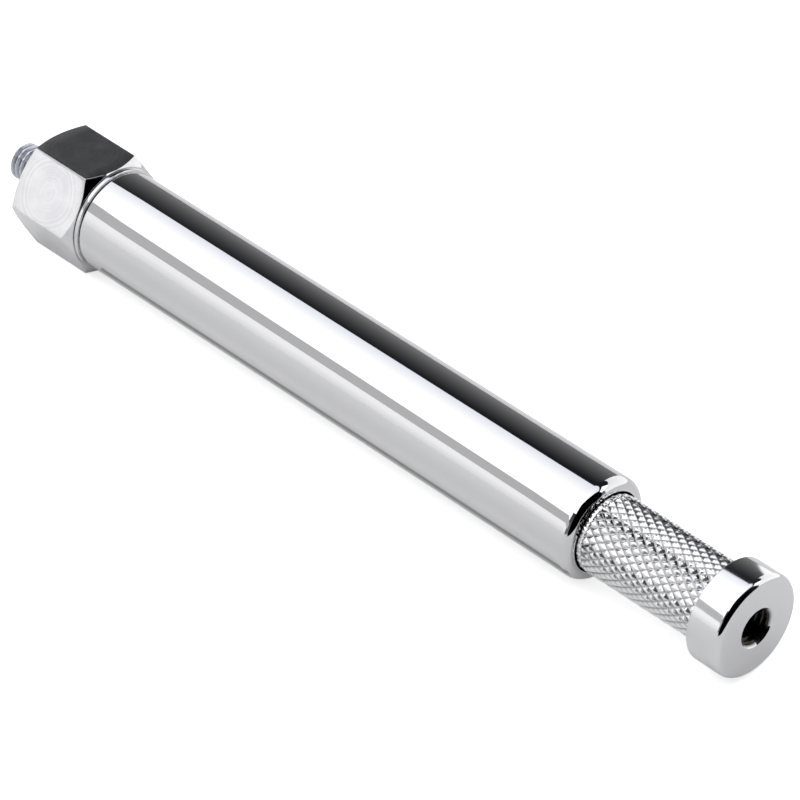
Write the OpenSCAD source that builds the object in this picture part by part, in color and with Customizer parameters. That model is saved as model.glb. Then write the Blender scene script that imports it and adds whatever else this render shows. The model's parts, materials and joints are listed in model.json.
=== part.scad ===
// Spring plunger tool. A chromed tube has a hexagonal head with a threaded
// stud at one end. At the other end a knurled plunger with a tapped button
// slides into the tube against a return spring, and turns freely.
// +X runs along the axis towards the button, +Z is up, and a flat of the
// hexagon faces down. The origin is on the axis, at the face of the head
// that the stud stands out of.

/* [Tube] */
// Outside diameter of the tube, and of the button
tube_d = 25.4; // [24:0.1:26.2]
// Bore of the tube
bore_d = 20; // [19.9:0.1:20.3]
// Length of the tube
tube_len = 161; // [160:0.5:168]
// Rounding of the tube's open end
mouth_round = 2.5; // [1:0.1:2.6]

/* [Head] */
// Width of the hexagon across its flats
hex_af = 27; // [26.5:0.1:30]
// Length of the hexagonal head with both chamfers
head_len = 21.5; // [20:0.5:26]
// Length of the spigot that screws into the tube
spigot_len = 18; // [14:0.5:20]
// Thickness of the washer between the head and the tube
washer_t = 1.1; // [0.8:0.1:1.6]

/* [Stud] */
// Thread diameter of the stud
stud_d = 9.525; // [8.5:0.025:10]
// Length of the stud outside the head
stud_out = 12; // [8:0.5:20]
// Length of the stud inside the head
stud_in = 15; // [10:0.5:18]

// Tapping diameter of the stud's thread, and of the button's
tapping_d = 7.94; // [6.8:0.02:7.96]

/* [Plunger] */
// Diameter over the knurling
grip_d = 19.5; // [18:0.1:19.5]
// How far the knurled grip stays inside the tube's mouth at rest
grip_tuck = 1; // [0.5:0.1:1.5]
// Travel of the plunger from rest to fully in
travel = 34; // [10:0.5:34]
// Thickness of the button
button_t = 9.1; // [7:0.1:12]
// Rounding of the button's outer edge
button_round = 1.5; // [0.5:0.1:3]
// Depth of the button's threaded hole
tapping_depth = 20; // [12:0.5:24]
// Diameter of the plunger's rod
rod_d = 10; // [8:0.5:10]

/* [Spring] */
// Diameter of the spring wire
wire_d = 1.8; // [1.2:0.1:2]
// Outside diameter of the spring
spring_d = 18.4; // [17:0.1:18.8]
// Number of turns
spring_turns = 10; // [6:1:12]

/* [Hidden] */
$fn = 96;

tube_r = tube_d / 2;
bore_r = bore_d / 2;
stud_r = stud_d / 2;
rod_r = rod_d / 2;
grip_r = grip_d / 2;
running = 0.05;           // radial clearance of the rod in its bush

// Stations along the axis, from the stud's seat to the button's face
seam = 0.15;              // fine groove on each side of the head washer
washer_x = head_len + seam;
tube_x = washer_x + washer_t + seam;
mouth_x = tube_x + tube_len;
spigot_end = tube_x + spigot_len;
grip_x = mouth_x - grip_tuck;
button_x = mouth_x + travel + 1.6;
face_x = button_x + button_t;

// The guide sits just clear of the grip when the plunger is fully in
ring_t = 1.2;             // thickness of a retaining ring
bush_len = 18;
outer_ring_x = grip_x - travel - 0.6 - ring_t;
bush_x = outer_ring_x - bush_len;
inner_ring_x = bush_x - ring_t;
buffer_t = 3;
buffer_x = inner_ring_x - 0.1 - buffer_t;
piston_len = 12;
piston_x = buffer_x - piston_len;
nut_t = 6;
nut_x = piston_x - nut_t;
seat_t = 2.5;             // thickness of a spring seat's flange
follower_x = nut_x - seat_t;
fixed_seat_x = spigot_end;
spring_x0 = fixed_seat_x + seat_t;
spring_x1 = follower_x;
spring_end_r = spring_d / 2 - wire_d - 0.3;

socket_r = 7;             // bore of the grip, where the button's spigot goes
socket_len = 18.5;
rod_end = button_x - socket_len - 1;

// Turns a shape drawn along Z so that it lies along X
module along_x(x = 0) {
    translate([x, 0, 0]) rotate([0, 90, 0]) children();
}

module rod(x0, x1, r) {
    along_x(x0) cylinder(h = x1 - x0, r = r);
}

module ring(x0, x1, r_in, r_out) {
    difference() {
        rod(x0, x1, r_out);
        rod(x0 - 1, x1 + 1, r_in);
    }
}

// A solid of revolution about the X axis, from [radius, x] points
module turned(points) {
    along_x() rotate_extrude() polygon(points);
}

// The waste left outside a rounded outer corner at [r, x]
module corner_waste(r, x, round) {
    translate([r - round, x - round]) difference() {
        square(round + 1);
        circle(r = round);
    }
}

// Zinc-plated stud. Outside the head it has its crest diameter, and inside
// the head it is drawn at the tapping diameter, where the threads mesh.
module threaded_stud() {
    tip = 0.7;
    shank_r = tapping_d / 2;
    color("silver") turned([
        [0, -stud_out], [stud_r - tip, -stud_out], [stud_r, tip - stud_out],
        [stud_r, 0], [shank_r, 0], [shank_r, stud_in], [0, stud_in]
    ]);
}

// Hexagonal head, chamfered at both ends, with its spigot
module hex_head() {
    corner_r = hex_af / 2 / cos(30);
    seat_r = 12.2;
    seat_slope = (corner_r - seat_r) * tan(30);
    land_r = 13.4;
    land_slope = corner_r - land_r;
    seal_x = tube_x + 12;
    color("gainsboro") difference() {
        union() {
            intersection() {
                along_x() rotate(30) cylinder(h = head_len, r = corner_r, $fn = 6);
                turned([
                    [0, 0], [seat_r, 0], [corner_r, seat_slope],
                    [corner_r, head_len - land_slope * 0.85], [land_r, head_len], [0, head_len]
                ]);
            }
            turned([
                [0, head_len - 1], [bore_r, head_len - 1], [bore_r, seal_x],
                [bore_r - 1.4, seal_x], [bore_r - 1.4, seal_x + 2], [bore_r, seal_x + 2],
                [bore_r, spigot_end], [0, spigot_end]
            ]);
        }
        rod(-1, stud_in + 1, tapping_d / 2);
    }
}

// Thin washer, seen as a bright band between the head and the tube
module head_washer() {
    color("silver") ring(washer_x, washer_x + washer_t, bore_r + 0.05, 13.25);
}

// Tube with a rounded mouth and two grooves for the retaining rings
module barrel_tube() {
    groove = 0.5;
    color("lightgray") along_x() rotate_extrude() difference() {
        translate([bore_r, tube_x]) square([tube_r - bore_r, tube_len]);
        corner_waste(tube_r, mouth_x, mouth_round);
        for (x = [inner_ring_x, outer_ring_x])
            translate([bore_r - 1, x]) square([1 + groove, ring_t]);
        translate([tube_r, tube_x]) rotate(45) square(0.4, center = true);
    }
}

// Rubber ring in the groove of the spigot
module spigot_seal() {
    x = tube_x + 12;
    color("dimgray") ring(x, x + 2, bore_r - 1.4, bore_r);
}

// Seat of the spring against the head's spigot, with a locating nose
module fixed_spring_seat() {
    color("darkgray") turned([
        [3, fixed_seat_x], [bore_r - 0.3, fixed_seat_x], [bore_r - 0.3, spring_x0],
        [spring_end_r, spring_x0], [spring_end_r - 0.6, spring_x0 + 3.5], [3, spring_x0 + 3.5]
    ]);
}

// Compression spring: a round wire swept along a helix. Its end turns, each
// a share end_share of the wire, lie almost flat.
function rise(t) = let (end_share = 0.08, flat = 0.04)
    flat * min(t / end_share, 1)
    + (1 - 2 * flat) * min(max((t - end_share) / (1 - 2 * end_share), 0), 1)
    + flat * max((t - 1 + end_share) / end_share, 0);

function wire_x(t) = spring_x0 + wire_d / 2 + (spring_x1 - spring_x0 - wire_d) * rise(t);

module return_spring() {
    sides = 8;
    steps = spring_turns * 18;
    mean_r = (spring_d - wire_d) / 2;
    points = [
        for (i = [0 : steps], k = [0 : sides - 1])
            let (t = i / steps, turn = 360 * spring_turns * t, a = 360 * k / sides,
                 r = mean_r + wire_d / 2 * cos(a))
            [wire_x(t) + wire_d / 2 * sin(a), r * cos(turn), r * sin(turn)]
    ];
    faces = concat(
        [[for (k = [0 : sides - 1]) k]],
        [for (i = [0 : steps - 1], k = [0 : sides - 1])
            let (j = (k + 1) % sides)
            [i * sides + k, (i + 1) * sides + k, (i + 1) * sides + j, i * sides + j]],
        [[for (k = [sides - 1 : -1 : 0]) steps * sides + k]]
    );
    color("slategray") polyhedron(points = points, faces = faces, convexity = 10);
}

// Seat that the spring pushes, free to turn against the lock nut
module spring_follower() {
    color("darkgray") turned([
        [0, follower_x - 3.5], [spring_end_r - 0.6, follower_x - 3.5],
        [spring_end_r, follower_x], [bore_r - 0.3, follower_x],
        [bore_r - 0.3, nut_x - 0.05], [0, nut_x - 0.05]
    ]);
}

// Nut that locks the piston on the rod
module rod_lock_nut() {
    color("silver") difference() {
        along_x(nut_x) rotate(30) cylinder(h = nut_t, r = 9, $fn = 6);
        rod(nut_x - 1, nut_x + nut_t + 1, rod_r);
    }
}

// Piston that keeps the inner end of the rod central in the tube
module piston() {
    skirt_r = bore_r - 0.25;
    floor_r = bore_r - 1.6;
    color("lightsteelblue") turned([
        [rod_r, piston_x], [skirt_r, piston_x], [skirt_r, piston_x + 4],
        [floor_r, piston_x + 4], [floor_r, piston_x + 8], [skirt_r, piston_x + 8],
        [skirt_r, piston_x + piston_len], [rod_r, piston_x + piston_len]
    ]);
}

// Nylon ring in the piston's groove, running in the bore
module piston_guide_ring() {
    color("ivory") ring(piston_x + 4, piston_x + 8, bore_r - 1.6, bore_r - 0.07);
}

// Rubber washer that meets the guide when the plunger springs back out
module stop_buffer() {
    color("dimgray") ring(buffer_x, buffer_x + buffer_t, rod_r, bore_r - 0.8);
}

module retaining_ring(x) {
    ring(x, x + ring_t, bore_r - 2, bore_r + 0.5);
}

module inner_retaining_ring() {
    color("slategray") retaining_ring(inner_ring_x);
}

module outer_retaining_ring() {
    color("slategray") retaining_ring(outer_ring_x);
}

// Bronze bush that guides the rod, with a recess for the wiper
module guide_bush() {
    x1 = bush_x + bush_len;
    color("peru") turned([
        [rod_r + running, bush_x], [bore_r, bush_x], [bore_r, x1],
        [rod_r + 2.5, x1], [rod_r + 2.5, x1 - 3], [rod_r + running, x1 - 3]
    ]);
}

// Wiper ring that keeps dust out of the bush
module rod_wiper() {
    x1 = bush_x + bush_len;
    color("dimgray") ring(x1 - 3, x1 - 0.2, rod_r + running, rod_r + 2.5);
}

// Steel rod from the lock nut to the grip
module plunger_rod() {
    tip = 0.8;
    x0 = nut_x + 0.2;
    color("silver") turned([
        [0, x0], [rod_r - tip, x0], [rod_r, x0 + tip],
        [rod_r, rod_end - tip], [rod_r - tip, rod_end], [0, rod_end]
    ]);
}

// Knurled sleeve on the rod, bevelled where it enters the tube
module knurled_grip() {
    bevel = 0.9;
    socket_x = button_x - socket_len;
    color("silver") turned([
        [rod_r, grip_x], [grip_r - bevel, grip_x], [grip_r, grip_x + bevel],
        [grip_r, button_x], [socket_r, button_x], [socket_r, socket_x], [rod_r, socket_x]
    ]);
}

// Button with its spigot in the grip and a threaded hole along the axis
module end_button() {
    mouth_r = 5;
    back_edge = 0.4;
    tap_r = tapping_d / 2;
    hole_end = face_x - tapping_depth;
    color("gainsboro") difference() {
        union() {
            along_x() rotate_extrude() difference() {
                translate([0, button_x]) square([tube_r, button_t]);
                corner_waste(tube_r, face_x, button_round);
                translate([tube_r, button_x]) rotate(45) square(back_edge, center = true);
            }
            rod(button_x - socket_len + 0.5, button_x + 1, socket_r);
        }
        rod(hole_end, face_x + 1, tap_r);
        along_x() rotate_extrude() polygon([
            [0, face_x - mouth_r], [mouth_r + 1, face_x + 1], [0, face_x + 1]
        ]);
    }
}

threaded_stud();
hex_head();
head_washer();
barrel_tube();
spigot_seal();
fixed_spring_seat();
return_spring();
spring_follower();
rod_lock_nut();
piston();
piston_guide_ring();
stop_buffer();
inner_retaining_ring();
guide_bush();
rod_wiper();
outer_retaining_ring();
plunger_rod();
knurled_grip();
end_button();
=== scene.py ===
import json
import math

import bmesh
import bpy
from mathutils import Matrix, Vector


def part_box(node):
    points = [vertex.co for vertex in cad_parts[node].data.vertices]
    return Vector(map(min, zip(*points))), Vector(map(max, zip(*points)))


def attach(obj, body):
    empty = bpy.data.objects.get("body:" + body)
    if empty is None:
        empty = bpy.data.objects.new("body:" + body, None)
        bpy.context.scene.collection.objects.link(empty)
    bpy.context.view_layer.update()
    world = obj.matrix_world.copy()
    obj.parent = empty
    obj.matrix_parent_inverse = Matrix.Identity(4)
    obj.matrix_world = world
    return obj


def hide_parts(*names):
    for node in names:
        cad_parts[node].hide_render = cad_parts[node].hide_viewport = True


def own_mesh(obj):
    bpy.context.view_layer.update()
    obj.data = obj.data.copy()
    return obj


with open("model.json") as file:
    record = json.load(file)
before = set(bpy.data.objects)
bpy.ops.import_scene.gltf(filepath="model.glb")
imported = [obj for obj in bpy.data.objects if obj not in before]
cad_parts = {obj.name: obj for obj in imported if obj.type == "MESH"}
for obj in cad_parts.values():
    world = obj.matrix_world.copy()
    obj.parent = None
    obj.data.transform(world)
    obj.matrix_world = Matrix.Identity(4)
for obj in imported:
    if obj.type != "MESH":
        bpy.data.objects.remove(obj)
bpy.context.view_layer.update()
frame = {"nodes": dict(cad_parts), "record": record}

scene = bpy.context.scene
scene.view_settings.view_transform = "Standard"
mm = 0.001
fullTurn = 2 * math.pi

mounts = {mount["name"]: mount for mount in frame["record"]["mounts"]}
studLow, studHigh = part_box("threaded_stud")
headLow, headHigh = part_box("hex_head")
washerLow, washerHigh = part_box("head_washer")
tubeLow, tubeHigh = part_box("barrel_tube")
gripLow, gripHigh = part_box("knurled_grip")
buttonLow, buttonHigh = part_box("end_button")
springLow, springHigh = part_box("return_spring")
tubeRadius = tubeHigh.z
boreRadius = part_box("guide_bush")[1].z
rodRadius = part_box("plunger_rod")[1].z
tapRadius = mounts["button_thread"]["dims"]["r_mm"] * mm
floorHeight = min(headLow.z, buttonLow.z)
threadPitch = 25.4 / 16 * mm    # sixteen turns to the inch, on the stud and in the button


def hexToLinear(code):
    def channel(pair):
        value = int(pair, 16) / 255
        return value / 12.92 if value <= 0.04045 else ((value + 0.055) / 1.055) ** 2.4
    return tuple(channel(code[i:i + 2]) for i in (1, 3, 5)) + (1.0,)


# Sets a node's inputs. A node or a socket is linked, a hex code is a colour, and anything else is
# the input's own value.
def setInputs(tree, node, values):
    for key, value in values.items():
        if isinstance(value, bpy.types.Node):
            value = value.outputs[0]
        if isinstance(value, bpy.types.NodeSocket):
            tree.links.new(value, node.inputs[key])
        else:
            node.inputs[key].default_value = hexToLinear(value) if isinstance(value, str) else value


def addNode(tree, kind, inputs=None, **settings):
    node = tree.nodes.new(kind)
    for key, value in settings.items():
        setattr(node, key, value)
    setInputs(tree, node, inputs or {})
    return node


# Works out a formula, one row at a time, and returns everything known by name. A row is a name, an
# operation and its two terms: numbers, or names already known. With "clamp", it stays in 0 to 1.
def addFormula(tree, known, rows):
    for name, operation, first, second, *clamp in rows:
        terms = {0: known.get(first, first), 1: known.get(second, second)}
        known[name] = addNode(tree, "ShaderNodeMath", terms, operation=operation, use_clamp=bool(clamp))
    return known


def newObject(name, mesh):
    piece = bpy.data.objects.new(name, mesh)
    scene.collection.objects.link(piece)
    return piece


def smoothByAngle(mesh, degrees=32):
    for polygon in mesh.polygons:
        polygon.use_smooth = True
    mesh.set_sharp_from_angle(angle=math.radians(degrees))


# Rounds the corners of a profile. Each corner is (x, radius, rounding).
def roundCorners(corners, closed, steps=7):
    points = []
    count = len(corners)
    for i, (x, r, rounding) in enumerate(corners):
        here = Vector((x, r))
        if rounding == 0 or (not closed and i in (0, count - 1)):
            points.append(here)
            continue
        toBack = (Vector(corners[i - 1][:2]) - here).normalized()
        toNext = (Vector(corners[(i + 1) % count][:2]) - here).normalized()
        half = toBack.angle(toNext) / 2
        reach = rounding / math.tan(half)
        start, end = here + toBack * reach, here + toNext * reach
        centre = here + (toBack + toNext).normalized() * rounding / math.sin(half)
        first, last = start - centre, end - centre
        sweep = math.pi - 2 * half
        for k in range(steps + 1):
            t = k / steps
            arm = (first * math.sin((1 - t) * sweep) + last * math.sin(t * sweep)) / math.sin(sweep)
            points.append(centre + arm)
    return points


# Adds points along each straight stretch between x0 and x1 and beyond radius r0, so that a thread
# or knurl can be cut there
def fillSpan(points, x0, x1, step, closed=True, r0=0.0):
    slack = 1e-7
    filled = []
    count = len(points)
    for i, point in enumerate(points):
        filled.append(point)
        if not closed and i == count - 1:
            break
        ahead = points[(i + 1) % count]
        low, high = sorted((point.x, ahead.x))
        inside = low >= x0 - slack and high <= x1 + slack and min(point.y, ahead.y) > r0
        pieces = int((high - low) / step) if inside else 1
        for k in range(1, pieces):
            filled.append(point.lerp(ahead, k / pieces))
    return filled


# Turns a profile about the X axis. A row is a point, or a function of the angle that gives one,
# and a row at radius 0 closes to a single vertex.
def turnProfile(name, rows, around, closed):
    bm = bmesh.new()
    rings = []
    for row in rows:
        ring = []
        for k in range(around):
            angle = fullTurn * k / around
            x, r = row(angle) if callable(row) else row
            if r < 1e-7:
                ring = [bm.verts.new((x, 0, 0))]
                break
            ring.append(bm.verts.new((x, r * math.cos(angle), r * math.sin(angle))))
        rings.append(ring)
    pairs = list(zip(rings, rings[1:]))
    if closed:
        pairs.append((rings[-1], rings[0]))
    for low, high in pairs:
        for k in range(around):
            j = (k + 1) % around
            corners = [low[k % len(low)], low[j % len(low)], high[j % len(high)], high[k % len(high)]]
            unique = list(dict.fromkeys(corners))
            if len(unique) > 2:
                bm.faces.new(unique)
    bmesh.ops.recalc_face_normals(bm, faces=bm.faces)
    mesh = bpy.data.meshes.new(name)
    bm.to_mesh(mesh)
    bm.free()
    return newObject(name, mesh)


# Replaces a piece's mesh by its evaluated mesh, with no modifier left on it
def bakeModifiers(piece):
    graph = bpy.context.evaluated_depsgraph_get()
    mesh = bpy.data.meshes.new_from_object(piece.evaluated_get(graph))
    piece.modifiers.clear()
    piece.data = mesh
    return piece


def bevelEdges(piece, width, degrees, segments=2):
    bevel = piece.modifiers.new("edge", "BEVEL")
    bevel.width = width
    bevel.segments = segments
    bevel.limit_method = "ANGLE"
    bevel.angle_limit = math.radians(degrees)
    bakeModifiers(piece)


def setMaterial(piece, material):
    piece.data.materials.clear()
    piece.data.materials.append(material)


def placePiece(piece, body, node, material):
    setMaterial(piece, material)
    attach(piece, body)
    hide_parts(node)


# Starts a metal or plastic: its usual colour and sheen, and the position on the object in metres
def newMaterial(name, colour, metallic, roughness):
    material = bpy.data.materials.new(name)
    material.use_nodes = True
    tree = material.node_tree
    shader = tree.nodes["Principled BSDF"]
    setInputs(tree, shader, {"Base Color": colour, "Metallic": metallic, "Roughness": roughness})
    place = addNode(tree, "ShaderNodeTexCoord").outputs["Object"]
    return material, tree, shader, place


# Mottling, with its grain size in metres along each axis
def addMottling(tree, place, grain, detail=4, seed=0.0):
    scaled = addNode(tree, "ShaderNodeMapping", {
        "Vector": place, "Location": (seed, seed * 0.7, seed * 1.3), "Scale": tuple(1 / g for g in grain)})
    return addNode(tree, "ShaderNodeTexNoise", {
        "Vector": scaled, "Scale": 1.0, "Detail": detail, "Roughness": 0.6})


mottleRange = {"From Min": 0.3, "From Max": 0.7}    # where nearly all of a mottling's values lie


# Distance from the tool's axis
def axisDistance(tree, place):
    parts = addNode(tree, "ShaderNodeSeparateXYZ", {"Vector": place}).outputs
    flat = addNode(tree, "ShaderNodeCombineXYZ", {"Y": parts["Y"], "Z": parts["Z"]})
    return addNode(tree, "ShaderNodeVectorMath", {0: flat}, operation="LENGTH").outputs["Value"]


# Bright chrome plate on steel that was drawn or turned, then buffed: mirror-sharp, with a slow
# ripple from the forming, a thin haze of wiping marks and the finest of buffing rings
def brightChrome(name, colour, ripple, wiping, haze=0.018, bore=None):
    look = {
        "usualRoughness": 0.03, "cloudColour": "#d5d5d7", "cloudGrain": (0.05, 0.02, 0.02),
        "wipeGrain": (0.022, 0.009, 0.009), "rippleGrain": (0.03, 0.008, 0.008),
        "buffGrain": (0.0004, 0.006, 0.006), "buffDepth": 0.0000004,
        "holeShadeColour": "#34312e", "boreRoughness": 0.22,
    }
    material, tree, shader, place = newMaterial(name, colour, 1.0, look["usualRoughness"])
    marks = addMottling(tree, place, look["wipeGrain"], detail=5, seed=3.1)
    rough = addNode(tree, "ShaderNodeMapRange", {
        **mottleRange, "Value": marks, "To Min": haze, "To Max": haze + wiping})
    cloud = addMottling(tree, place, look["cloudGrain"], detail=2, seed=1.7)
    tint = addNode(tree, "ShaderNodeMix", {
        0: cloud, 6: colour, 7: look["cloudColour"]}, data_type="RGBA").outputs[2]
    if bore:
        # painted shade in the tapped hole: inside the countersink's radius and below the mouth the colour goes
        # dark, and the finish gets rougher
        inside = addNode(tree, "ShaderNodeMapRange", {
            "Value": axisDistance(tree, place), "From Min": bore["radius"], "From Max": bore["radius"] * 1.02,
            "To Min": 1.0, "To Max": 0.0})
        along = addNode(tree, "ShaderNodeSeparateXYZ", {0: place}).outputs["X"]
        deep = addNode(tree, "ShaderNodeMapRange", {
            "Value": along, "From Min": bore["mouth"] - bore["fade"], "From Max": bore["mouth"],
            "To Min": 1.0, "To Max": 0.0})
        holeShadeAndDullness = addNode(tree, "ShaderNodeMath", {0: inside, 1: deep}, operation="MULTIPLY")
        tint = addNode(tree, "ShaderNodeMix", {
            0: holeShadeAndDullness, 6: tint, 7: look["holeShadeColour"]}, data_type="RGBA").outputs[2]
        rough = addNode(tree, "ShaderNodeMapRange", {
            "Value": holeShadeAndDullness, "From Min": 0.0, "From Max": 1.0,
            "To Min": rough, "To Max": look["boreRoughness"]})
    waves = addMottling(tree, place, look["rippleGrain"], detail=1, seed=7.4)
    slow = addNode(tree, "ShaderNodeBump", {"Height": waves, "Distance": ripple, "Strength": 1.0})
    buffing = addMottling(tree, place, look["buffGrain"], detail=3, seed=2.2)
    fine = addNode(tree, "ShaderNodeBump", {
        "Height": buffing, "Distance": look["buffDepth"], "Strength": 1.0, "Normal": slow})
    setInputs(tree, shader, {"Roughness": rough, "Base Color": tint, "Normal": fine})
    return material


# Satin chrome over milled flats and turned chamfers: the cutter's arcs show on the flats,
# and the chamfers are closer to a mirror
def milledChrome(name, headMiddle, apothem):
    look = {
        "usualColour": "#c9c9cb", "arcHigh": "#dadadc", "arcLow": "#cdcdd1",
        "flatRoughness": 0.17, "coneRoughness": 0.06,
        "arcSpacing": 0.0006,       # between the cutter's arcs, coarse enough to show
        "arcDepth": 0.0000028, "arcWander": 0.0016, "wanderGrain": (0.012,) * 3,
        "patchGrain": (0.006,) * 3, "blotchGrain": (0.004,) * 3,
        "satinGrain": (0.0002,) * 3, "satinDepth": 0.0000005,
    }
    material, tree, shader, place = newMaterial(name, look["usualColour"], 1.0, look["flatRoughness"])
    offset = addNode(tree, "ShaderNodeVectorMath", {0: place, 1: (headMiddle, 0.0, 0.0)}, operation="SUBTRACT")
    squared = addNode(tree, "ShaderNodeVectorMath", {0: offset, 1: offset}, operation="DOT_PRODUCT")
    wander = addNode(tree, "ShaderNodeMapRange", {
        "Value": addMottling(tree, place, look["wanderGrain"], detail=1, seed=21.0),
        "From Min": 0.0, "From Max": 1.0, "To Min": 0.0, "To Max": look["arcWander"]})
    patches = addNode(tree, "ShaderNodeMapRange", {
        "Value": addMottling(tree, place, look["patchGrain"], detail=2, seed=5.0),
        "From Min": 0.35, "From Max": 0.65, "To Min": 0.35, "To Max": 1.0})
    normal = addNode(tree, "ShaderNodeNewGeometry").outputs["Normal"]
    # the reach is how far a point on a flat is from where the cutter's axis met it
    known = addFormula(tree, {
        "squared": squared.outputs["Value"], "wander": wander,
        "normalX": addNode(tree, "ShaderNodeSeparateXYZ", {0: normal}),
    }, [
        ("level", "SUBTRACT", "squared", apothem * apothem),
        ("positive", "MAXIMUM", "level", 0.0),
        ("reach", "POWER", "positive", 0.5),
        ("uneven", "ADD", "reach", "wander"),
        ("tilt", "ABSOLUTE", "normalX", 0.0),
    ])
    rings = addNode(tree, "ShaderNodeTexNoise", {
        "W": known["uneven"], "Scale": 1 / look["arcSpacing"], "Detail": 3.0}, noise_dimensions="1D")
    arcs = addNode(tree, "ShaderNodeMath", {0: rings, 1: patches}, operation="MULTIPLY")
    flat = addNode(tree, "ShaderNodeMapRange", {
        **mottleRange, "Value": addMottling(tree, place, look["blotchGrain"], detail=5, seed=9.0),
        "To Min": look["flatRoughness"] - 0.04, "To Max": look["flatRoughness"] + 0.06})
    onCone = addNode(tree, "ShaderNodeMapRange", {
        "Value": known["tilt"], "From Min": 0.2, "From Max": 0.4, "To Min": 0.0, "To Max": 1.0})
    rough = addNode(tree, "ShaderNodeMix", {0: onCone, 2: flat, 3: look["coneRoughness"]}, data_type="FLOAT")
    shade = addNode(tree, "ShaderNodeMapRange", {
        "Value": arcs, "From Min": 0.05, "From Max": 0.5, "To Min": 0.0, "To Max": 1.0})
    tint = addNode(tree, "ShaderNodeMix", {
        0: shade, 6: look["arcHigh"], 7: look["arcLow"]}, data_type="RGBA").outputs[2]
    satin = addMottling(tree, place, look["satinGrain"], detail=2, seed=4.0)
    grain = addNode(tree, "ShaderNodeBump", {"Height": satin, "Distance": look["satinDepth"], "Strength": 1.0})
    cut = addNode(tree, "ShaderNodeBump", {
        "Height": arcs, "Distance": look["arcDepth"], "Strength": 1.0, "Normal": grain})
    setInputs(tree, shader, {"Roughness": rough, "Base Color": tint, "Normal": cut})
    return material


# Bright plate over a rolled or cut form, with painted shade in the grooves: bright on the crests, and darker
# down towards the roots
def groovedPlate(name, crest, root, crestColour, grooveShadeColour, roughness):
    look = {"speckleGrain": (0.0011,) * 3, "pitGrain": (0.0005,) * 3, "pitDepth": 0.000012}
    material, tree, shader, place = newMaterial(name, crestColour, 1.0, roughness)
    # painted shade: the colour goes darker from the crests down to the roots of the grooves
    depth = addNode(tree, "ShaderNodeMapRange", {
        "Value": axisDistance(tree, place), "From Min": root, "From Max": crest, "To Min": 0.0, "To Max": 1.0})
    tint = addNode(tree, "ShaderNodeMix", {
        0: depth, 6: grooveShadeColour, 7: crestColour}, data_type="RGBA").outputs[2]
    rough = addNode(tree, "ShaderNodeMapRange", {
        **mottleRange, "Value": addMottling(tree, place, look["speckleGrain"], seed=6.3),
        "To Min": roughness - 0.05, "To Max": roughness + 0.1})
    pits = addMottling(tree, place, look["pitGrain"], detail=3, seed=8.0)
    bump = addNode(tree, "ShaderNodeBump", {"Height": pits, "Distance": look["pitDepth"], "Strength": 1.0})
    setInputs(tree, shader, {"Base Color": tint, "Roughness": rough, "Normal": bump})
    return material


# Oiled steel or bronze, ground, drawn or turned: fine rings round the axis and an uneven sheen
def plainMetal(name, colour, darker, roughness, grain):
    look = {"cloudGrain": (0.004,) * 3, "ringDepth": 0.000002}
    material, tree, shader, place = newMaterial(name, colour, 1.0, roughness)
    rings = addMottling(tree, place, grain, detail=3, seed=2.9)
    rough = addNode(tree, "ShaderNodeMapRange", {
        **mottleRange, "Value": rings, "To Min": roughness - 0.07, "To Max": roughness + 0.08})
    cloud = addMottling(tree, place, look["cloudGrain"], seed=11.0)
    tint = addNode(tree, "ShaderNodeMix", {0: cloud, 6: darker, 7: colour}, data_type="RGBA").outputs[2]
    bump = addNode(tree, "ShaderNodeBump", {"Height": rings, "Distance": look["ringDepth"], "Strength": 1.0})
    setInputs(tree, shader, {"Roughness": rough, "Base Color": tint, "Normal": bump})
    return material


# Moulded nylon or nitrile rubber: no metal, a soft sheen and a fine moulded grain
def moulded(name, colour, paler, roughness):
    look = {"mottleGrain": (0.002,) * 3, "skinGrain": (0.0003,) * 3, "skinDepth": 0.00001}
    material, tree, shader, place = newMaterial(name, colour, 0.0, roughness)
    mottle = addMottling(tree, place, look["mottleGrain"], seed=13.0)
    tint = addNode(tree, "ShaderNodeMix", {0: mottle, 6: colour, 7: paler}, data_type="RGBA").outputs[2]
    rough = addNode(tree, "ShaderNodeMapRange", {
        **mottleRange, "Value": mottle, "To Min": roughness - 0.05, "To Max": roughness + 0.08})
    skin = addMottling(tree, place, look["skinGrain"], seed=15.0)
    bump = addNode(tree, "ShaderNodeBump", {"Height": skin, "Distance": look["skinDepth"], "Strength": 1.0})
    setInputs(tree, shader, {"Base Color": tint, "Roughness": rough, "Normal": bump})
    return material


headMiddle = headHigh.x * 0.26    # the middle of the hexagon, without the spigot
# the painted shade inside the button's tapped hole: its radius, where it ends and how long it takes to fade
holeShadeLook = {
    "radius": 5.0 * mm,                     # the countersink's own radius
    "mouth": buttonHigh.x - 0.1 * mm,       # where the hole's painted shade has faded out
    "fade": 0.5 * mm,
}
chromedTube = brightChrome("chrome_plate_on_drawn_tube", "#cfcfd0", ripple=0.000009, wiping=0.03)
chromedTurning = brightChrome("chrome_plate_on_turned_steel", "#cfcfd0", ripple=0.000002, wiping=0.04)
chromedButton = brightChrome("chrome_plate_on_button", "#dadadb", ripple=0.000003, wiping=0.05, haze=0.06,
                             bore=holeShadeLook)
chromedHead = milledChrome("satin_chrome_on_milled_steel", headMiddle, headHigh.z)
chromedKnurl = groovedPlate("chrome_plate_on_rolled_knurl", gripHigh.z - 0.2 * mm, gripHigh.z - 0.46 * mm,
                            "#e4e4e5", "#868688", 0.1)
zincPlate = groovedPlate("bright_zinc_plated_steel", studHigh.z - 0.1 * mm, studHigh.z - 0.9 * mm,
                         "#c6c8cf", "#80848e", 0.26)
groundSteel = plainMetal("ground_steel_oiled", "#b8b8b9", "#9fa0a2", 0.24, (0.0002, 0.01, 0.01))
springWire = plainMetal("drawn_spring_wire_oiled", "#6d6f73", "#55575b", 0.3, (0.001, 0.001, 0.001))
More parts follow.
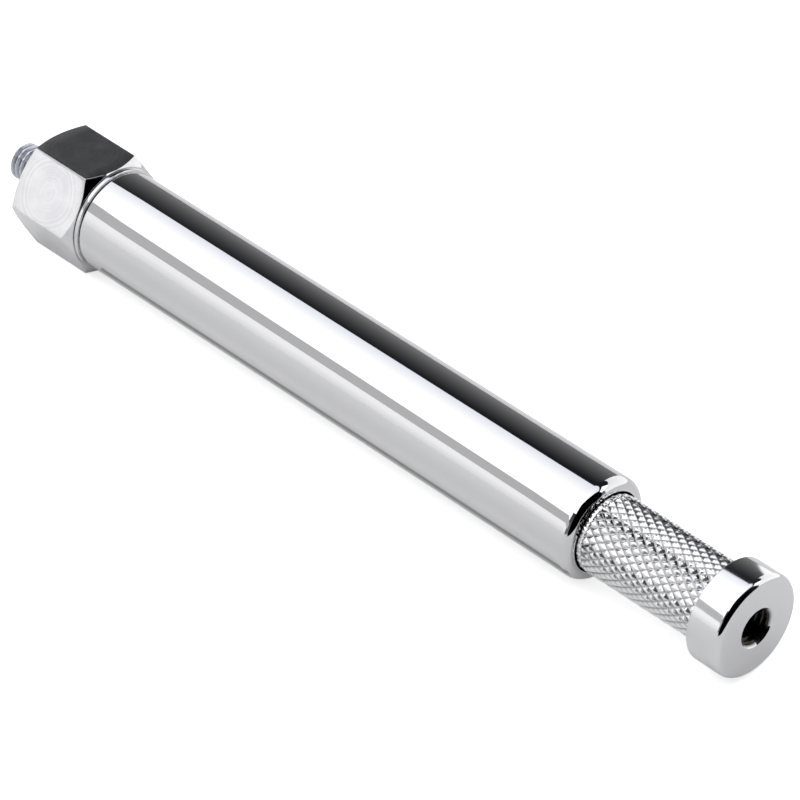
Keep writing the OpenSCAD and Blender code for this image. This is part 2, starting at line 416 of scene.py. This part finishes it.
bearingBronze = plainMetal("turned_bearing_bronze", "#bd8b52", "#a3733d", 0.28, (0.0003, 0.01, 0.01))
naturalNylon = moulded("natural_nylon_moulded", "#ddd6c2", "#e6e1d2", 0.45)
blackNitrile = moulded("black_nitrile_rubber_moulded", "#141414", "#222222", 0.55)
print("materials made")


# Starts a Geometry Nodes tree, and returns its inputs by name
def newTree(name, numbers, takesMesh):
    tree = bpy.data.node_groups.new(name, "GeometryNodeTree")
    sockets = [("Geometry", "NodeSocketGeometry")] if takesMesh else []
    sockets += [(label, "NodeSocketFloat") for label in numbers] + [("Material", "NodeSocketMaterial")]
    for label, kind in sockets:
        tree.interface.new_socket(label, in_out="INPUT", socket_type=kind)
    tree.interface.new_socket("Geometry", in_out="OUTPUT", socket_type="NodeSocketGeometry")
    return tree, {socket.name: socket for socket in addNode(tree, "NodeGroupInput").outputs}


# Ends a tree with a real mesh in its own material
def endTree(tree, geometry, material):
    real = addNode(tree, "GeometryNodeRealizeInstances", {"Geometry": geometry})
    done = addNode(tree, "GeometryNodeSetMaterial", {"Geometry": real, "Material": material})
    addNode(tree, "NodeGroupOutput", {0: done})
    return tree


# Cuts helical grooves in a turned form. One family of grooves makes a thread, and a second family
# of the other hand crosses it to make a diamond knurl. Side 1 cuts an outside, side -1 a bore.
def grooveTree():
    tree, known = newTree("helical_grooves", (
        "Starts", "Spacing", "Radius", "Depth", "Width", "Crown", "From X", "To X", "Run Out", "Second Hand",
        "Side"), takesMesh=True)
    place = addNode(tree, "GeometryNodeInputPosition")
    known.update({part.name: part for part in addNode(tree, "ShaderNodeSeparateXYZ", {0: place}).outputs})
    addFormula(tree, known, [
        ("angle", "ARCTAN2", "Z", "Y"),
        ("turn", "DIVIDE", "angle", fullTurn),
        ("around", "MULTIPLY", "turn", "Starts"),
        ("along", "DIVIDE", "X", "Spacing"),
        ("y squared", "MULTIPLY", "Y", "Y"),
        ("z squared", "MULTIPLY", "Z", "Z"),
        ("squared", "ADD", "y squared", "z squared"),
        ("distance", "SQRT", "squared", 0.0),
    ])
    # a groove's cut is 1 in its middle and 0 outside it, and the crowned land falls towards it
    for hand, lean in (("first", "SUBTRACT"), ("second", "ADD")):
        addFormula(tree, known, [
            (hand + " phase", lean, "along", "around"),
            (hand + " swing", "PINGPONG", hand + " phase", 0.5),
            (hand + " away", "MULTIPLY", hand + " swing", 2.0),
            (hand + " near", "SUBTRACT", 1.0, hand + " away"),
            (hand + " fall", "MULTIPLY", hand + " near", hand + " near"),
            (hand + " inside", "SUBTRACT", "Width", hand + " away"),
            (hand + " cut", "DIVIDE", hand + " inside", "Width", "clamp"),
        ])
    addFormula(tree, known, [
        ("crossing cut", "MULTIPLY", "second cut", "Second Hand"),
        ("crossing fall", "MULTIPLY", "second fall", "Second Hand"),
        ("deeper", "MAXIMUM", "first cut", "crossing cut"),
        ("cut depth", "MULTIPLY", "deeper", "Depth"),
        ("falls", "ADD", "first fall", "crossing fall"),
        ("crown depth", "MULTIPLY", "falls", "Crown"),
        ("full depth", "ADD", "cut depth", "crown depth"),
        ("past start", "SUBTRACT", "X", "From X"),
        ("enter", "DIVIDE", "past start", "Run Out", "clamp"),
        ("before end", "SUBTRACT", "To X", "X"),
        ("leave", "DIVIDE", "before end", "Run Out", "clamp"),
        ("run", "MINIMUM", "enter", "leave"),
        ("depth here", "MULTIPLY", "full depth", "run"),
        ("side radius", "MULTIPLY", "Radius", "Side"),
        ("surface", "SUBTRACT", "side radius", "depth here"),
        ("side distance", "MULTIPLY", "distance", "Side"),
        ("lower", "MINIMUM", "side distance", "surface"),
        ("new distance", "MULTIPLY", "lower", "Side"),
        ("ratio", "DIVIDE", "new distance", "distance"),
        ("new y", "MULTIPLY", "Y", "ratio"),
        ("new z", "MULTIPLY", "Z", "ratio"),
    ])
    moved = addNode(tree, "ShaderNodeCombineXYZ", {"X": known["X"], "Y": known["new y"], "Z": known["new z"]})
    after = addNode(tree, "FunctionNodeCompare", {0: known["X"], 1: known["From X"]}, operation="GREATER_EQUAL")
    before = addNode(tree, "FunctionNodeCompare", {0: known["X"], 1: known["To X"]}, operation="LESS_EQUAL")
    inside = addNode(tree, "FunctionNodeBooleanMath", {0: after, 1: before}, operation="AND")
    shaped = addNode(tree, "GeometryNodeSetPosition", {
        "Geometry": known["Geometry"], "Selection": inside, "Position": moved})
    return endTree(tree, shaped, known["Material"])


# A round wire along a helix about the X axis, with its end turns nearly closed up
def springTree():
    ends = {"share": 0.08, "climb": 0.04}    # each end's share of the wire, and of the climb
    tree, known = newTree("coil_spring", (
        "Start X", "Length", "Coil Radius", "Wire Radius", "Turns"), takesMesh=False)
    line = addNode(tree, "GeometryNodeCurvePrimitiveLine")
    fine = addNode(tree, "GeometryNodeResampleCurve", {"Curve": line, "Count": 400})
    known["share"] = addNode(tree, "GeometryNodeSplineParameter").outputs["Factor"]
    addFormula(tree, known, [
        ("turn", "MULTIPLY", "share", "Turns"),
        ("angle", "MULTIPLY", "turn", fullTurn),
        ("past first end", "SUBTRACT", "share", ends["share"]),
        ("middle share", "DIVIDE", "past first end", 1 - 2 * ends["share"], "clamp"),
        ("middle climb", "MULTIPLY", "middle share", 1 - 2 * ends["climb"]),
        ("first share", "DIVIDE", "share", ends["share"], "clamp"),
        ("past middle", "SUBTRACT", "share", 1 - ends["share"]),
        ("last share", "DIVIDE", "past middle", ends["share"], "clamp"),
        ("end shares", "ADD", "first share", "last share"),
        ("end climb", "MULTIPLY", "end shares", ends["climb"]),
        ("climbed", "ADD", "middle climb", "end climb"),
        ("wire", "MULTIPLY", "Wire Radius", 2.0),
        ("room", "SUBTRACT", "Length", "wire"),
        ("climb", "MULTIPLY", "climbed", "room"),
        ("start", "ADD", "Start X", "Wire Radius"),
        ("x", "ADD", "start", "climb"),
        ("cosine", "COSINE", "angle", 0.0),
        ("sine", "SINE", "angle", 0.0),
        ("y", "MULTIPLY", "cosine", "Coil Radius"),
        ("z", "MULTIPLY", "sine", "Coil Radius"),
    ])
    point = addNode(tree, "ShaderNodeCombineXYZ", {"X": known["x"], "Y": known["y"], "Z": known["z"]})
    helix = addNode(tree, "GeometryNodeSetPosition", {"Geometry": fine, "Position": point})
    ring = addNode(tree, "GeometryNodeCurvePrimitiveCircle", {"Resolution": 14, "Radius": known["Wire Radius"]})
    wire = addNode(tree, "GeometryNodeCurveToMesh", {"Curve": helix, "Profile Curve": ring, "Fill Caps": True})
    return endTree(tree, wire, known["Material"])


def runTree(piece, tree, values):
    modifier = piece.modifiers.new(tree.name, "NODES")
    modifier.node_group = tree
    for item in tree.interface.items_tree:
        if item.in_out == "INPUT" and item.name in values:
            modifier[item.identifier] = values[item.name]
    return bakeModifiers(piece)


grooves = grooveTree()

stud = {
    "tip": 0.7 * mm,            # chamfer at the free end
    "tipRound": 0.15 * mm,
    "crestRound": 0.1 * mm,
    "innerRound": 0.3 * mm,
    "depth": 0.85 * mm,         # crest to root
    "width": 0.86,              # share of the pitch that the groove takes
    "runOut": 0.9 * mm,
    "stop": -0.01 * mm,         # the thread ends at the head's face
    "turnSteps": 12,            # mesh steps to each turn
    "around": 96,
}
profile = roundCorners([
    (studLow.x, 0, 0),
    (studLow.x, studHigh.z - stud["tip"], stud["tipRound"]),
    (studLow.x + stud["tip"], studHigh.z, stud["crestRound"]),
    (0.0, studHigh.z, 0),
    (0.0, tapRadius, 0),
    (studHigh.x, tapRadius, stud["innerRound"]),
    (studHigh.x, 0, 0),
], closed=False)
profile = fillSpan(profile, studLow.x, 0.0, threadPitch / stud["turnSteps"], closed=False)
studPiece = turnProfile("stud_with_thread", profile, stud["around"], closed=False)
runTree(studPiece, grooves, {
    "Starts": 1.0, "Spacing": threadPitch, "Radius": studHigh.z, "Depth": stud["depth"], "Width": stud["width"],
    "Crown": 0.0, "From X": studLow.x - mm, "To X": stud["stop"], "Run Out": stud["runOut"],
    "Second Hand": 0.0, "Side": 1.0, "Material": zincPlate})
smoothByAngle(studPiece.data, 40)
placePiece(studPiece, "housing", "threaded_stud", zincPlate)
print("stud threaded")

head = {
    "seat": 12.2 * mm,          # radius of the face round the stud
    "seatSlope": math.tan(math.radians(30)),
    "land": 13.4 * mm,          # radius where the chamfer meets the washer
    "landSlope": 0.85,
    "length": washerLow.x - 0.15 * mm,
    "edge": 0.14 * mm,          # softened edges
    "spigotEdge": 0.5 * mm,
    "tapDepth": 1.0 * mm,       # the tapped hole's mouth: how deep it goes, how wide it opens,
    "tapMouth": 0.85 * mm,      # and a point between that crowns it
    "tapLip": (0.3 * mm, 0.5 * mm),
    "holeSpare": 1.0 * mm,      # how far the hole goes past the stud's end
    "perFlat": 26,              # mesh steps to each flat
    "faceRings": 6,
    "sideRings": 6,
    "landRings": 3,
}
apothem = headHigh.z


def flatRadius(angle):
    # the hexagon's own radius at an angle, with flats up and down
    beyond = (angle - math.pi / 2 + math.pi / 6) % (math.pi / 3) - math.pi / 6
    return apothem / math.cos(beyond)


def seatEdge(angle):
    r = flatRadius(angle)
    return (r - head["seat"]) * head["seatSlope"], r


def landEdge(angle):
    r = flatRadius(angle)
    return head["length"] - (r - head["land"]) * head["landSlope"], r


def seatRing(angle):
    return 0.0, head["seat"]


def landRing(angle):
    return head["length"], head["land"]


# A row that lies a share of the way from one row to another
def between(low, high, share):
    def row(angle):
        (x0, r0), (x1, r1) = low(angle), high(angle)
        return x0 + (x1 - x0) * share, r0 + (r1 - r0) * share
    return row


holeEnd = studHigh.x + head["holeSpare"]
lipDepth, lipStep = head["tapLip"]
faceShares = [k / head["faceRings"] for k in range(1, head["faceRings"])]
rows = [(holeEnd, 0.0), (holeEnd, tapRadius), (head["tapDepth"], tapRadius)]
rows += [(lipDepth, tapRadius + lipStep), (0.0, tapRadius + head["tapMouth"])]
rows += [(0.0, tapRadius + (head["seat"] - tapRadius) * share) for share in faceShares]
rows += [(0.0, head["seat"]), between(seatRing, seatEdge, 0.5)]
rows += [between(seatEdge, landEdge, k / head["sideRings"]) for k in range(head["sideRings"] + 1)]
rows += [between(landEdge, landRing, k / head["landRings"]) for k in range(1, head["landRings"] + 1)]
rows += [(head["length"], boreRadius), (headHigh.x - head["spigotEdge"], boreRadius)]
rows += [(headHigh.x, boreRadius - head["spigotEdge"]), (headHigh.x, 0.0)]
headPiece = turnProfile("head_hexagonal", rows, head["perFlat"] * 6, closed=False)
bevelEdges(headPiece, head["edge"], degrees=20)
smoothByAngle(headPiece.data, 30)
placePiece(headPiece, "housing", "hex_head", chromedHead)
print("head made")

washer = {"edge": 0.22 * mm, "clearance": 0.05 * mm, "around": 256}
washerBore = boreRadius + washer["clearance"]
profile = roundCorners([
    (washerLow.x, washerBore, 0),
    (washerLow.x, washerHigh.z, washer["edge"]),
    (washerHigh.x, washerHigh.z, washer["edge"]),
    (washerHigh.x, washerBore, 0),
], closed=True)
washerPiece = turnProfile("washer_bright", profile, washer["around"], closed=True)
smoothByAngle(washerPiece.data)
placePiece(washerPiece, "housing", "head_washer", chromedTurning)

tube = {
    "mouthRound": 2.5 * mm,     # rounded open end
    "backEdge": 0.3 * mm,       # small rounding next to the washer
    "boreEdge": 0.12 * mm,
    "step": 10 * mm,            # between the mesh rings
    "around": 320,
}
profile = roundCorners([
    (tubeLow.x, boreRadius, 0),
    (tubeLow.x, tubeRadius, tube["backEdge"]),
    (tubeHigh.x, tubeRadius, tube["mouthRound"]),
    (tubeHigh.x, boreRadius, tube["boreEdge"]),
], closed=True, steps=14)
profile = fillSpan(profile, tubeLow.x, tubeHigh.x, tube["step"])
tubePiece = turnProfile("tube_chromed", profile, tube["around"], closed=True)
smoothByAngle(tubePiece.data)
placePiece(tubePiece, "housing", "barrel_tube", chromedTube)
print("tube made")

grip = {
    "taper": 0.12 * mm,         # how much the plain end narrows towards the mouth of the tube
    "plain": 1.1 * mm,          # length of the plain end outside the mouth
    "endRound": 0.12 * mm,
    "taperRound": 0.2 * mm,
    "starts": 28,               # grooves of each hand round the grip
    "spacing": 3.2 * mm,        # from groove to groove along the grip
    "depth": 0.4 * mm,
    "width": 0.78,              # share of the spacing that a groove takes
    "crown": 0.02 * mm,         # each diamond is slightly domed
    "cells": 16,                # mesh steps to each groove
    "neck": 0.5 * mm,           # plain neck next to the button
    "runOut": 0.5 * mm,
    "socketRadius": 7 * mm,     # the socket that the button's spigot fits
    "socketDepth": 18.5 * mm,
    "slack": 0.01 * mm,         # rows this close to the full radius are knurled
}
gripRadius = gripHigh.z
socketEnd = gripHigh.x - grip["socketDepth"]
plainEnd = tubeHigh.x + grip["plain"]
profile = roundCorners([
    (gripLow.x, rodRadius, 0),
    (gripLow.x, gripRadius - grip["taper"], grip["endRound"]),
    (plainEnd, gripRadius, grip["taperRound"]),
    (gripHigh.x, gripRadius, 0),
    (gripHigh.x, grip["socketRadius"], 0),
    (socketEnd, grip["socketRadius"], 0),
    (socketEnd, rodRadius, 0),
], closed=True, steps=4)
atFullRadius = [point for point in profile if point.y > gripRadius - grip["slack"]]
profile = fillSpan(profile, atFullRadius[0].x - grip["slack"], gripHigh.x, grip["spacing"] / grip["cells"],
                   r0=gripRadius - 0.1 * mm)
gripPiece = turnProfile("grip_knurled", profile, grip["starts"] * grip["cells"], closed=True)
runTree(gripPiece, grooves, {
    "Starts": float(grip["starts"]), "Spacing": grip["spacing"], "Radius": gripRadius, "Depth": grip["depth"],
    "Width": grip["width"], "Crown": grip["crown"], "From X": tubeHigh.x + grip["plain"] * 0.7,
    "To X": gripHigh.x - grip["neck"], "Run Out": grip["runOut"],
    "Second Hand": 1.0, "Side": 1.0, "Material": chromedKnurl})
smoothByAngle(gripPiece.data, 24)
placePiece(gripPiece, "plunger", "knurled_grip", chromedKnurl)
print("grip knurled")

button = {
    "outerRound": 1.5 * mm,
    "backRound": 0.35 * mm,
    "mouth": 5.0 * mm,          # radius of the countersink
    "mouthEdge": 0.15 * mm,
    "depth": 0.9 * mm,          # crest to root of the thread
    "width": 0.86,
    "threadFrom": 0.45 * mm,    # how far below the face the thread starts
    "threadSpare": 0.5 * mm,    # plain length at the bottom of the hole
    "runOut": 0.5 * mm,
    "holeDepth": 20 * mm,
    "spigotRadius": 7 * mm,
    "spigotRound": 0.3 * mm,
    "turnSteps": 12,            # mesh steps to each turn of the thread
    "around": 192,
}
faceX = buttonHigh.x
backX = gripHigh.x
buttonRadius = buttonHigh.z
holeBottom = faceX - button["holeDepth"]
countersink = button["mouth"] - tapRadius
profile = roundCorners([
    (buttonLow.x, 0, 0),
    (buttonLow.x, button["spigotRadius"], button["spigotRound"]),
    (backX, button["spigotRadius"], 0),
    (backX, buttonRadius, button["backRound"]),
    (faceX, buttonRadius, button["outerRound"]),
    (faceX, button["mouth"], button["mouthEdge"]),
    (faceX - countersink, tapRadius, 0),
    (holeBottom, tapRadius, 0),
    (holeBottom, 0, 0),
], closed=False, steps=12)
holeWidth = button["mouth"] + 2 * button["mouthEdge"]
holeRows = [point for point in profile if point.y < holeWidth and point.x > holeBottom - mm]
outerRows = profile[:len(profile) - len(holeRows)]
profile = outerRows + fillSpan(holeRows, holeBottom, faceX, threadPitch / button["turnSteps"], closed=False)
buttonPiece = turnProfile("button_tapped", profile, button["around"], closed=False)
runTree(buttonPiece, grooves, {
    "Starts": 1.0, "Spacing": threadPitch, "Radius": tapRadius, "Depth": button["depth"],
    "Width": button["width"], "Crown": 0.0, "From X": holeBottom + button["threadSpare"],
    "To X": faceX - button["threadFrom"], "Run Out": button["runOut"],
    "Second Hand": 0.0, "Side": -1.0, "Material": chromedButton})
smoothByAngle(buttonPiece.data, 40)
placePiece(buttonPiece, "plunger", "end_button", chromedButton)
print("button made")

spring = {
    "wire": 0.9 * mm,           # the wire's radius
    "turns": 10.0,
    "travel": 34.1 * mm,        # how much shorter it gets when the plunger is pushed home
}
springLength = springHigh.x - springLow.x
springPiece = runTree(newObject("spring_coiled", bpy.data.meshes.new("spring_coiled")), springTree(), {
    "Start X": springLow.x, "Length": springLength, "Coil Radius": springHigh.z - spring["wire"],
    "Wire Radius": spring["wire"], "Turns": spring["turns"], "Material": springWire})
smoothByAngle(springPiece.data, 50)
placePiece(springPiece, "housing", "return_spring", springWire)
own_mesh(springPiece)
print("spring coiled")

# The hidden turned pieces keep their own shape and get their finish
finishes = {
    "spigot_seal": blackNitrile, "stop_buffer": blackNitrile, "rod_wiper": blackNitrile,
    "fixed_spring_seat": groundSteel, "spring_follower": groundSteel, "piston": groundSteel,
    "plunger_rod": groundSteel, "rod_lock_nut": zincPlate, "piston_guide_ring": naturalNylon,
    "guide_bush": bearingBronze, "inner_retaining_ring": springWire, "outer_retaining_ring": springWire,
}
for name, material in finishes.items():
    setMaterial(frame["nodes"][name], material)
print("hidden pieces finished")


# A card's even white glow, or one that starts weaker at the floor
def glow(name, strength, atFloor=None):
    material = bpy.data.materials.new(name)
    material.use_nodes = True
    tree = material.node_tree
    tree.nodes.clear()
    lit = addNode(tree, "ShaderNodeEmission", {"Color": "#ffffff", "Strength": strength})
    if atFloor:
        place = addNode(tree, "ShaderNodeTexCoord").outputs["Object"]
        up = addNode(tree, "ShaderNodeSeparateXYZ", {0: place}).outputs["Z"]
        rising = addNode(tree, "ShaderNodeMapRange", {
            "Value": up, "From Min": floorHeight, "From Max": floorHeight + 0.1,
            "To Min": atFloor, "To Max": strength})
        setInputs(tree, lit, {"Strength": rising})
    addNode(tree, "ShaderNodeOutputMaterial", {"Surface": lit})
    return material


# A painted shadow: a dark line along the table, soft at its sides and clear beyond them
def paintedShadowLine(name, strength, middle, halfWidth, density):
    material = glow(name, strength)
    tree = material.node_tree
    place = addNode(tree, "ShaderNodeTexCoord").outputs["Object"]
    known = addFormula(tree, {"Y": addNode(tree, "ShaderNodeSeparateXYZ", {0: place}).outputs["Y"]}, [
        ("from middle", "SUBTRACT", "Y", middle),
        ("away", "ABSOLUTE", "from middle", 0.0),
    ])
    cover = addNode(tree, "ShaderNodeMapRange", {
        "Value": known["away"], "From Min": 0.0, "From Max": halfWidth, "To Min": density, "To Max": 0.0})
    mix = addNode(tree, "ShaderNodeMixShader", {
        0: cover, 1: addNode(tree, "ShaderNodeBsdfTransparent"), 2: tree.nodes["Emission"]})
    setInputs(tree, tree.nodes["Material Output"], {"Surface": mix})
    return material


def flatMesh(name, centre, halfA, halfB):
    a, b, c = Vector(halfA), Vector(halfB), Vector(centre)
    mesh = bpy.data.meshes.new(name)
    mesh.from_pydata([c - a - b, c + a - b, c + a + b, c - a + b], [], [(0, 1, 2, 3)])
    return newObject(name, mesh)


# A flat card that only the reflections see, given by its centre and two half edges
def addCard(name, centre, halfA, halfB, material):
    card = flatMesh(name, centre, halfA, halfB)
    setMaterial(card, material)
    card.visible_camera = False
    card.visible_diffuse = False
    card.visible_shadow = False


# A soft box: an area light of that size. Its far end may be dimmer, and is a little cooler.
def addSoftBox(name, centre, facing, size, watts, farEnd):
    light = bpy.data.lights.new(name, "AREA")
    light.shape = "RECTANGLE"
    light.size, light.size_y = size
    light.energy = watts
    light.use_nodes = True
    tree = light.node_tree
    tree.nodes.clear()
    across = addNode(tree, "ShaderNodeNewGeometry").outputs["Parametric"]
    along = addNode(tree, "ShaderNodeSeparateXYZ", {0: across}).outputs["Y"]
    fade = addNode(tree, "ShaderNodeMapRange", {
        "Value": along, "From Min": 0.2, "From Max": 1.0, "To Min": 1.0, "To Max": farEnd})
    cooler = addNode(tree, "ShaderNodeMapRange", {
        "Value": along, "From Min": 0.7, "From Max": 1.0, "To Min": 0.0, "To Max": 1.0})
    colour = addNode(tree, "ShaderNodeMix", {
        0: cooler, 6: "#ffffff", 7: "#f4f7ff"}, data_type="RGBA").outputs[2]
    lit = addNode(tree, "ShaderNodeEmission", {"Color": colour, "Strength": fade})
    addNode(tree, "ShaderNodeOutputLight", {"Surface": lit})
    lamp = bpy.data.objects.new(name, light)
    scene.collection.objects.link(lamp)
    lamp.location = centre
    lamp.rotation_euler = (Vector(facing) - Vector(centre)).to_track_quat("-Z", "Y").to_euler()
    lamp.visible_camera = False


table = {
    "half": 6.0,
    "paper": "#f0f0f0",
    "paperRoughness": 0.9,
    "glow": 0.09,               # in reflections, it is white paper with a little light through it
    "glowShown": 0.65,          # to the camera, it shines enough to come out plain white
}
paper, paperTree, paperShader, _ = newMaterial(
    "white_light_table", table["paper"], 0.0, table["paperRoughness"])
shown = addNode(paperTree, "ShaderNodeLightPath").outputs["Is Camera Ray"]
shine = addNode(paperTree, "ShaderNodeMapRange", {
    "Value": shown, "From Min": 0.0, "From Max": 1.0, "To Min": table["glow"], "To Max": table["glowShown"]})
setInputs(paperTree, paperShader, {"Emission Color": "#ffffff", "Emission Strength": shine})
floor = flatMesh("floor", (0.0, 0.0, floorHeight), (table["half"], 0.0, 0.0), (0.0, table["half"], 0.0))
setMaterial(floor, paper)

softBoxes = {
    # overhead, from the near left to just past the tool
    "soft_box_overhead": {"centre": (-0.30, -0.40, 1.2), "facing": (-0.30, -0.40, 0.0), "size": (2.6, 1.76),
                          "watts": 28, "farEnd": 0.65},
    # upright behind the tool
    "soft_box_upright": {"centre": (0.80, 1.2, 0.6), "facing": (0.80, 0.0, 0.6), "size": (2.5, 1.3),
                         "watts": 12, "farEnd": 1.0},
}
for name, box in softBoxes.items():
    addSoftBox(name, **box)

cardLooks = {"whiteGlow": 1.3, "whiteAtFloor": 1.02, "greyGlow": 0.66, "brightGlow": 1.9}
white = glow("white_card", cardLooks["whiteGlow"], atFloor=cardLooks["whiteAtFloor"])
grey = glow("grey_card", cardLooks["greyGlow"])
bright = glow("bright_card", cardLooks["brightGlow"])
black = glow("black_card", 0.0)

# On the near left, a white card on the floor, a grey one over it and a bright one behind them. Each
# stands upright, and its height is its middle's.
toCards = Vector((-0.64, -0.77, 0.0)).normalized()
acrossCards = Vector((-toCards.y, toCards.x, 0.0))
foot = Vector((0.032, 0.0, 0.0)) + toCards * 0.42
nearCards = {
    "card_white_low": {"along": 0.05, "back": 0.0, "height": 0.066, "halfWidth": 0.45, "halfHeight": 0.078,
                       "material": white},
    "card_grey_high": {"along": 0.1, "back": 0.0, "height": 0.219, "halfWidth": 0.6, "halfHeight": 0.074,
                       "material": grey},
    "card_white_back": {"along": 0.0, "back": 0.3, "height": 0.5, "halfWidth": 0.6, "halfHeight": 0.3,
                        "material": bright},
}
for name, card in nearCards.items():
    middle = foot + acrossCards * card["along"] + toCards * card["back"] + Vector((0, 0, card["height"]))
    addCard(name, middle, acrossCards * card["halfWidth"], (0, 0, card["halfHeight"]), card["material"])

# A painted shadow under the tube: a dark line on the table, seen only in reflections, draws the tube's lower
# edge
line = {
    "glow": 0.12,
    "density": 0.75,
    "middle": -0.84 * tubeRadius,
    "halfWidth": 0.2 * tubeRadius,
    "halfCard": 0.3 * tubeRadius,
    "along": 0.103,             # its middle, along the tube
    "halfLength": 0.08,
    "lift": 0.00005,            # above the table
}
shadowLineMaterial = paintedShadowLine("painted_shadow_line", line["glow"], line["middle"], line["halfWidth"], line["density"])
lineMiddle = (line["along"], line["middle"], floorHeight + line["lift"])
addCard("card_painted_shadow_line", lineMiddle, (line["halfLength"], 0, 0), (0, line["halfCard"], 0), shadowLineMaterial)

# A black card close to the button draws the near rims, and a bright one far to the right lights them
toBlack = Vector((0.93, -0.37, 0.0))
acrossBlack = Vector((0.37, 0.93, 0.0))
blackCard = {"height": 0.14, "away": 0.085, "halfWidth": 0.13, "halfHeight": 0.152}
addCard("card_black_near", Vector((faceX, 0, blackCard["height"])) + toBlack * blackCard["away"],
        acrossBlack * blackCard["halfWidth"], (0, 0, blackCard["halfHeight"]), black)
rightCard = {"middle": (1.9, 1.22, 1.75), "halfWidth": 0.95, "halfHeight": 0.55}
addCard("card_white_right", rightCard["middle"], (rightCard["halfWidth"], 0, 0),
        (0, 0, rightCard["halfHeight"]), bright)

# The room beyond the cards is dark grey, and darker higher up. The backdrop itself is white.
world = bpy.data.worlds.new("studio")
scene.world = world
world.use_nodes = True
worldTree = world.node_tree
worldTree.nodes.clear()
direction = addNode(worldTree, "ShaderNodeTexCoord").outputs["Generated"]
height = addNode(worldTree, "ShaderNodeSeparateXYZ", {0: direction}).outputs["Z"]
higher = addNode(worldTree, "ShaderNodeMapRange", {
    "Value": height, "From Min": 0.0, "From Max": 0.75, "To Min": 0.0, "To Max": 1.0})
room = addNode(worldTree, "ShaderNodeMix", {0: higher, 6: "#8a8a8a", 7: "#232428"}, data_type="RGBA").outputs[2]
onCamera = addNode(worldTree, "ShaderNodeLightPath").outputs["Is Camera Ray"]
seen = addNode(worldTree, "ShaderNodeMix", {0: onCamera, 6: room, 7: "#ffffff"}, data_type="RGBA").outputs[2]
sky = addNode(worldTree, "ShaderNodeBackground", {"Color": seen, "Strength": 1.0})
addNode(worldTree, "ShaderNodeOutputWorld", {"Surface": sky})

view = {
    "aim": (0.119, 0.0, 0.0),
    "distance": 1.0724,
    "azimuth": 44.1,            # degrees, as are the next two
    "elevation": 36.2,
    "roll": 2.81,
    "lens": 212.6,              # mm
}
cameraData = bpy.data.cameras.new("camera")
cameraData.lens = view["lens"]
cameraData.clip_end = 50
camera = bpy.data.objects.new("camera", cameraData)
scene.collection.objects.link(camera)
azimuth, elevation = math.radians(view["azimuth"]), math.radians(view["elevation"])
level = Vector((math.sin(azimuth), -math.cos(azimuth), 0.0)) * math.cos(elevation)
back = level + Vector((0.0, 0.0, math.sin(elevation)))
turned = (-back).to_track_quat("-Z", "Y").to_matrix() @ Matrix.Rotation(math.radians(view["roll"]), 3, "Z")
camera.matrix_world = Matrix.Translation(Vector(view["aim"]) + back * view["distance"]) @ turned.to_4x4()
scene.camera = camera
print("studio set")
